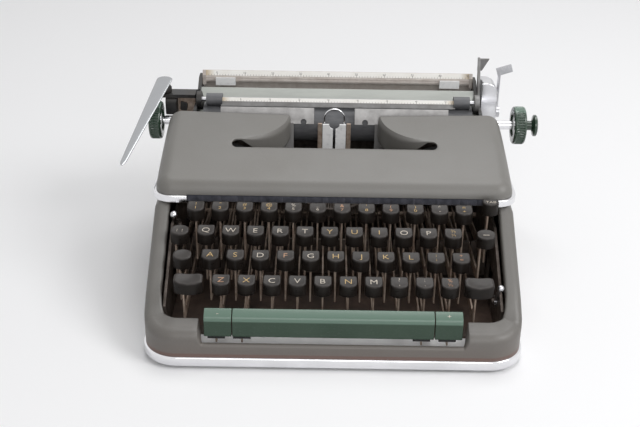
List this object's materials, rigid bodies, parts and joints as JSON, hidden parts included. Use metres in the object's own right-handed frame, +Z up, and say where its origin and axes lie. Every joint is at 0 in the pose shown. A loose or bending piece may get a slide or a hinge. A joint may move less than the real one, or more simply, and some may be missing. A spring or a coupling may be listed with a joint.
{
  "type": "portable typewriter",
  "caption": "Portable manual typewriter with a sloped keyboard, hinged ribbon cover, sliding carriage and swinging return lever.",
  "frame": {"origin": "on the floor plane of the rubber feet, under the middle of the box round the whole machine", "axes": "+X to the typist's right, +Y to the rear, +Z up"},
  "size_m": [0.3488, 0.2806, 0.153],
  "materials": {
    "paint": "fine wrinkle enamel",
    "chrome": "bright plated",
    "steel": "blued",
    "dark_steel": "black enamel",
    "key_black": "worn gloss",
    "green": "gloss",
    "rubber": "matt",
    "scale": "satin cream",
    "felt": "felt"
  },
  "bodies": {
    "chassis": {"lower_casing": "paint", "base_trim": "chrome", "rubber_feet": "rubber", "main_frame": "steel", "lever_comb": "steel", "fulcrum_rod": "chrome", "type_segment": "steel", "type_bars": "chrome", "type_rest": "rubber", "type_guide": "chrome", "card_guides": "chrome", "carriage_rail": "steel", "spool_cups": "steel", "bell": "chrome"},
    "cover": {"ribbon_cover": "paint", "cover_trim": "chrome", "felt_strip": "felt"},
    "carriage": {"carriage_truck": "steel"},
    "platen_carriage": {"carriage_bed": "steel", "end_plates": "steel", "paper_table": "paint", "margin_rail": "scale"},
    "platen": {"platen_roller": "rubber", "platen_shaft": "chrome", "left_knob": "green", "right_knob": "green"},
    "variable_button": {"variable_button": "green"},
    "feed_rollers": {"feed_rollers": "rubber"},
    "return_lever": {"return_lever": "chrome"},
    "paper_bail": {"paper_bail": "chrome"},
    "left_bail_roller": {"left_bail_roller": "rubber"},
    "right_bail_roller": {"right_bail_roller": "rubber"},
    "paper_release_lever": {"paper_release_lever": "chrome"},
    "carriage_release_lever": {"carriage_release_lever": "chrome"},
    "left_margin_stop": {"left_margin_stop": "chrome"},
    "right_margin_stop": {"right_margin_stop": "chrome"},
    "bottom_row": {"bottom_row_caps": "key_black", "bottom_row_levers": "steel"},
    "home_row": {"home_row_caps": "key_black", "home_row_levers": "steel"},
    "top_row": {"top_row_caps": "key_black", "top_row_levers": "steel"},
    "number_row": {"number_row_caps": "key_black", "number_row_levers": "steel"},
    "left_shift_key": {"left_shift_key": "key_black"},
    "right_shift_key": {"right_shift_key": "key_black"},
    "shift_lock_key": {"shift_lock_key": "key_black"},
    "space_bar": {"space_bar": "green"},
    "tab_clear_key": {"tab_clear_key": "green"},
    "tab_set_key": {"tab_set_key": "green"},
    "margin_release_key": {"margin_release_key": "key_black"},
    "backspace_key": {"backspace_key": "key_black"},
    "tab_key": {"tab_key": "key_black"},
    "centre_type_bar": {"centre_type_bar": "chrome"},
    "ribbon_vibrator": {"ribbon_vibrator": "chrome"},
    "left_spool": {"left_spool": "dark_steel"},
    "right_spool": {"right_spool": "dark_steel"},
    "ribbon_selector": {"ribbon_selector": "chrome"},
    "touch_lever": {"touch_lever": "chrome"},
    "mainspring_drum": {"mainspring_drum": "steel"}
  },
  "joints": [
    {"name": "carriage_slide", "type": "slide", "parent": "chassis", "child": "carriage", "axis": [-1, 0, 0], "range_m": [-0.115, 0.115]},
    {"name": "carriage_lift", "type": "slide", "parent": "carriage", "child": "platen_carriage", "axis": [0, 0, 1], "range_m": [0, 0.0065]},
    {"name": "platen_turn", "type": "hinge", "parent": "platen_carriage", "child": "platen", "pos_m": [-0.00405, 0.08115, 0.108], "axis": [1, 0, 0], "continuous": true},
    {"name": "button_pull", "type": "slide", "parent": "platen", "child": "variable_button", "axis": [1, 0, 0], "range_m": [0, 0.003], "stiffness_N_per_m": 400},
    {"name": "feed_turn", "type": "hinge", "parent": "platen_carriage", "child": "feed_rollers", "pos_m": [-0.00405, 0.09484, 0.09168], "axis": [1, 0, 0], "continuous": true},
    {"name": "return_lever_swing", "type": "hinge", "parent": "platen_carriage", "child": "return_lever", "pos_m": [-0.15475, 0.09875, 0.134], "axis": [0, 0, 1], "range_deg": [0, 20], "stiffness_Nm_per_rad": 0.15},
    {"name": "bail_swing", "type": "hinge", "parent": "platen_carriage", "child": "paper_bail", "pos_m": [-0.00405, 0.09475, 0.117], "axis": [-1, 0, 0], "range_deg": [0, 60]},
    {"name": "left_bail_roller_turn", "type": "hinge", "parent": "paper_bail", "child": "left_bail_roller", "pos_m": [-0.00405, 0.07814, 0.12939], "axis": [1, 0, 0], "continuous": true},
    {"name": "right_bail_roller_turn", "type": "hinge", "parent": "paper_bail", "child": "right_bail_roller", "pos_m": [-0.00405, 0.07814, 0.12939], "axis": [1, 0, 0], "continuous": true},
    {"name": "paper_release_swing", "type": "hinge", "parent": "platen_carriage", "child": "paper_release_lever", "pos_m": [0.12695, 0.11075, 0.112], "axis": [1, 0, 0], "range_deg": [0, 20], "stiffness_Nm_per_rad": 0.08, "springref_deg": -17.19},
    {"name": "carriage_release_swing", "type": "hinge", "parent": "platen_carriage", "child": "carriage_release_lever", "pos_m": [0.14495, 0.12275, 0.104], "axis": [1, 0, 0], "range_deg": [0, 15], "stiffness_Nm_per_rad": 0.08, "springref_deg": -17.19},
    {"name": "left_margin_slide", "type": "slide", "parent": "platen_carriage", "child": "left_margin_stop", "axis": [1, 0, 0], "range_m": [0, 0.08]},
    {"name": "right_margin_slide", "type": "slide", "parent": "platen_carriage", "child": "right_margin_stop", "axis": [-1, 0, 0], "range_m": [0, 0.08]},
    {"name": "cover_hinge", "type": "hinge", "parent": "chassis", "child": "cover", "pos_m": [-0.00405, 0.05275, 0.1193], "axis": [-1, 0, 0], "range_deg": [0, 70]},
    {"name": "bottom_row_press", "type": "hinge", "parent": "chassis", "child": "bottom_row", "pos_m": [-0.00405, 0.05075, 0.034], "axis": [1, 0, 0], "range_deg": [0, 5.08], "stiffness_Nm_per_rad": 2, "springref_deg": -8.59},
    {"name": "home_row_press", "type": "hinge", "parent": "chassis", "child": "home_row", "pos_m": [-0.00405, 0.05075, 0.034], "axis": [1, 0, 0], "range_deg": [0, 5.8], "stiffness_Nm_per_rad": 2, "springref_deg": -8.59},
    {"name": "top_row_press", "type": "hinge", "parent": "chassis", "child": "top_row", "pos_m": [-0.00405, 0.05075, 0.034], "axis": [1, 0, 0], "range_deg": [0, 6.7], "stiffness_Nm_per_rad": 2, "springref_deg": -8.59},
    {"name": "number_row_press", "type": "hinge", "parent": "chassis", "child": "number_row", "pos_m": [-0.00405, 0.05075, 0.034], "axis": [1, 0, 0], "range_deg": [0, 7.1], "stiffness_Nm_per_rad": 2, "springref_deg": -8.59},
    {"name": "shift_lock_key_press", "type": "hinge", "parent": "chassis", "child": "shift_lock_key", "pos_m": [-0.00405, 0.05075, 0.034], "axis": [1, 0, 0], "range_deg": [0, 5.8], "stiffness_Nm_per_rad": 0.5, "springref_deg": -8.59},
    {"name": "space_bar_press", "type": "hinge", "parent": "chassis", "child": "space_bar", "pos_m": [-0.00405, 0.05075, 0.034], "axis": [1, 0, 0], "range_deg": [0, 3.2], "stiffness_Nm_per_rad": 1, "springref_deg": -8.59},
    {"name": "tab_clear_key_press", "type": "hinge", "parent": "chassis", "child": "tab_clear_key", "pos_m": [-0.00405, 0.05075, 0.034], "axis": [1, 0, 0], "range_deg": [0, 3.2], "stiffness_Nm_per_rad": 0.5, "springref_deg": -8.59},
    {"name": "tab_set_key_press", "type": "hinge", "parent": "chassis", "child": "tab_set_key", "pos_m": [-0.00405, 0.05075, 0.034], "axis": [1, 0, 0], "range_deg": [0, 3.2], "stiffness_Nm_per_rad": 0.5, "springref_deg": -8.59},
    {"name": "margin_release_key_press", "type": "hinge", "parent": "chassis", "child": "margin_release_key", "pos_m": [-0.00405, 0.05075, 0.034], "axis": [1, 0, 0], "range_deg": [0, 6], "stiffness_Nm_per_rad": 0.5, "springref_deg": -8.59},
    {"name": "backspace_key_press", "type": "hinge", "parent": "chassis", "child": "backspace_key", "pos_m": [-0.00405, 0.05075, 0.034], "axis": [1, 0, 0], "range_deg": [0, 6], "stiffness_Nm_per_rad": 0.5, "springref_deg": -8.59},
    {"name": "tab_key_press", "type": "hinge", "parent": "chassis", "child": "tab_key", "pos_m": [-0.00405, 0.05075, 0.034], "axis": [1, 0, 0], "range_deg": [0, 4.5], "stiffness_Nm_per_rad": 0.5, "springref_deg": -8.59},
    {"name": "left_shift_key_press", "type": "hinge", "parent": "chassis", "child": "left_shift_key", "pos_m": [-0.00405, 0.05075, 0.034], "axis": [1, 0, 0], "range_deg": [0, 5.08]},
    {"name": "right_shift_key_press", "type": "hinge", "parent": "chassis", "child": "right_shift_key", "pos_m": [-0.00405, 0.05075, 0.034], "axis": [1, 0, 0], "range_deg": [0, 5.08]},
    {"name": "type_bar_swing", "type": "hinge", "parent": "chassis", "child": "centre_type_bar", "pos_m": [-0.00405, 0.05075, 0.058], "axis": [-1, 0, 0], "range_deg": [0, 99]},
    {"name": "vibrator_lift", "type": "slide", "parent": "chassis", "child": "ribbon_vibrator", "axis": [0, 0, 1], "range_m": [0, 0.008]},
    {"name": "left_spool_turn", "type": "hinge", "parent": "chassis", "child": "left_spool", "pos_m": [-0.09605, 0.02275, 0.095], "axis": [0, 0, 1], "continuous": true},
    {"name": "right_spool_turn", "type": "hinge", "parent": "chassis", "child": "right_spool", "pos_m": [0.08795, 0.02275, 0.095], "axis": [0, 0, 1], "continuous": true},
    {"name": "ribbon_selector_swing", "type": "hinge", "parent": "chassis", "child": "ribbon_selector", "pos_m": [-0.12975, -0.02725, 0.062], "axis": [1, 0, 0], "range_deg": [-8, 8]},
    {"name": "touch_lever_swing", "type": "hinge", "parent": "chassis", "child": "touch_lever", "pos_m": [0.12165, -0.08525, 0.03], "axis": [1, 0, 0], "range_deg": [-8, 8]},
    {"name": "mainspring_drum_turn", "type": "hinge", "parent": "chassis", "child": "mainspring_drum", "pos_m": [0.11095, 0.09075, 0.046], "axis": [1, 0, 0], "range_deg": [-370, 370]}
  ],
  "couplings": [
    {"joint": "feed_turn", "follows": "platen_turn", "ratio": -3.2},
    {"joint": "left_shift_key_press", "follows": "carriage_lift", "rad_per_m": 13.426},
    {"joint": "right_shift_key_press", "follows": "carriage_lift", "rad_per_m": 13.426},
    {"joint": "type_bar_swing", "follows": "home_row_press", "ratio": 17},
    {"joint": "vibrator_lift", "follows": "home_row_press", "m_per_rad": 0.0785},
    {"joint": "right_spool_turn", "follows": "left_spool_turn", "ratio": 1},
    {"joint": "mainspring_drum_turn", "follows": "carriage_slide", "rad_per_m": 55}
  ]
}
